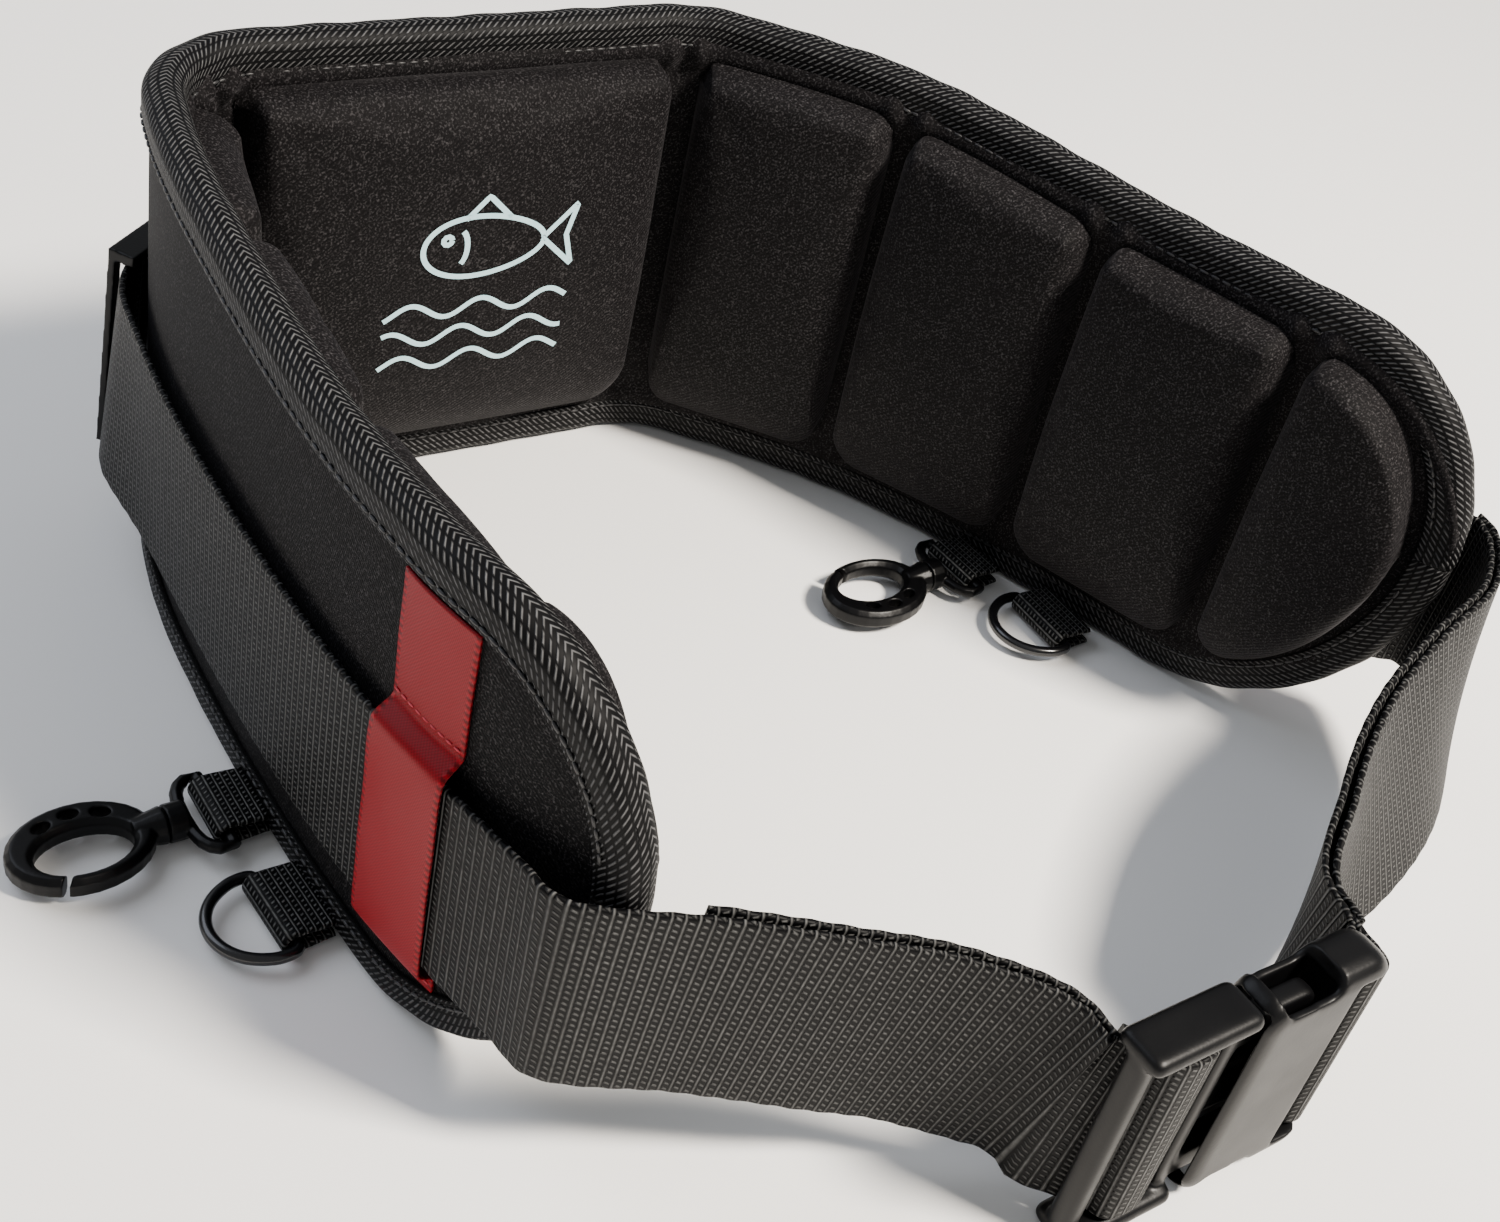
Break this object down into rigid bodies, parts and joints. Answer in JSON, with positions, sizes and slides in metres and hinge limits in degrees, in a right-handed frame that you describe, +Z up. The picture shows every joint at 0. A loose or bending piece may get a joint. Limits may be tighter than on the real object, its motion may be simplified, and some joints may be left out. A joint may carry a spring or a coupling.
{
  "type": "fishing fighting belt",
  "caption": "Padded waist belt with bound edges, a webbing strap and side-release buckle, and snap hooks and D-rings on its lower edge.",
  "frame": {"origin": "middle of the footprint, on the surface that the belt stands on", "axes": "+Z up, the buckle toward -Y, +X to the belt's right arm as seen from the front"},
  "size_m": [0.347, 0.3004, 0.13],
  "materials": {
    "panel_fabric": "smooth black knit",
    "pad_fabric": "satin black knit over foam",
    "binding_tape": "twill tape with diagonal ribs",
    "black_webbing": "ribbed webbing",
    "ribbon": "satin red ribbon",
    "black_plastic": "satin moulded",
    "black_wire": "black painted wire"
  },
  "bodies": {
    "belt": {"panel": "panel_fabric", "binding_upper": "binding_tape", "binding_lower": "binding_tape", "back_pad": "pad_fabric", "left_pad_1": "pad_fabric", "left_pad_2": "pad_fabric", "left_pad_3": "pad_fabric", "left_pad_4": "pad_fabric", "right_pad_1": "pad_fabric", "right_pad_2": "pad_fabric", "right_pad_3": "pad_fabric", "right_pad_4": "pad_fabric", "left_keeper": "ribbon", "right_keeper": "ribbon", "left_hook_tab": "black_webbing", "left_ring_tab": "black_webbing", "right_hook_tab": "black_webbing", "right_ring_tab": "black_webbing", "strap_back": "black_webbing", "strap_left": "black_webbing", "strap_right": "black_webbing", "strap_slide": "black_plastic", "buckle_male": "black_plastic", "buckle_socket": "black_plastic"},
    "left_eye": {"left_swivel_eye": "black_plastic"},
    "left_hook": {"left_snap_hook": "black_plastic"},
    "left_ring": {"left_d_ring": "black_wire"},
    "right_eye": {"right_swivel_eye": "black_plastic"},
    "right_hook": {"right_snap_hook": "black_plastic"},
    "right_ring": {"right_d_ring": "black_wire"}
  },
  "joints": [
    {"name": "left_eye_tilt", "type": "hinge", "parent": "belt", "child": "left_eye", "pos_m": [-0.12778, 0.02049, 0.0048], "axis": [-0.035, 0.9994, 0], "range_deg": [-90, 90]},
    {"name": "left_hook_swivel", "type": "hinge", "parent": "left_eye", "child": "left_hook", "pos_m": [-0.12778, 0.02049, 0.0048], "axis": [-0.9994, -0.035, 0], "continuous": true},
    {"name": "left_ring_swing", "type": "hinge", "parent": "belt", "child": "left_ring", "pos_m": [-0.12595, -0.01101, 0.0035], "axis": [-0.0852, 0.9964, 0], "range_deg": [-90, 90]},
    {"name": "right_eye_tilt", "type": "hinge", "parent": "belt", "child": "right_eye", "pos_m": [0.09338, 0.03949, 0.0048], "axis": [-0.0847, 0.9964, 0], "range_deg": [-90, 65]},
    {"name": "right_hook_swivel", "type": "hinge", "parent": "right_eye", "child": "right_hook", "pos_m": [0.09338, 0.03949, 0.0048], "axis": [-0.9964, -0.0847, 0], "continuous": true},
    {"name": "right_ring_swing", "type": "hinge", "parent": "belt", "child": "right_ring", "pos_m": [0.10468, 0.01221, 0.0035], "axis": [-0.0191, 0.9998, 0], "range_deg": [-90, 90]}
  ]
}
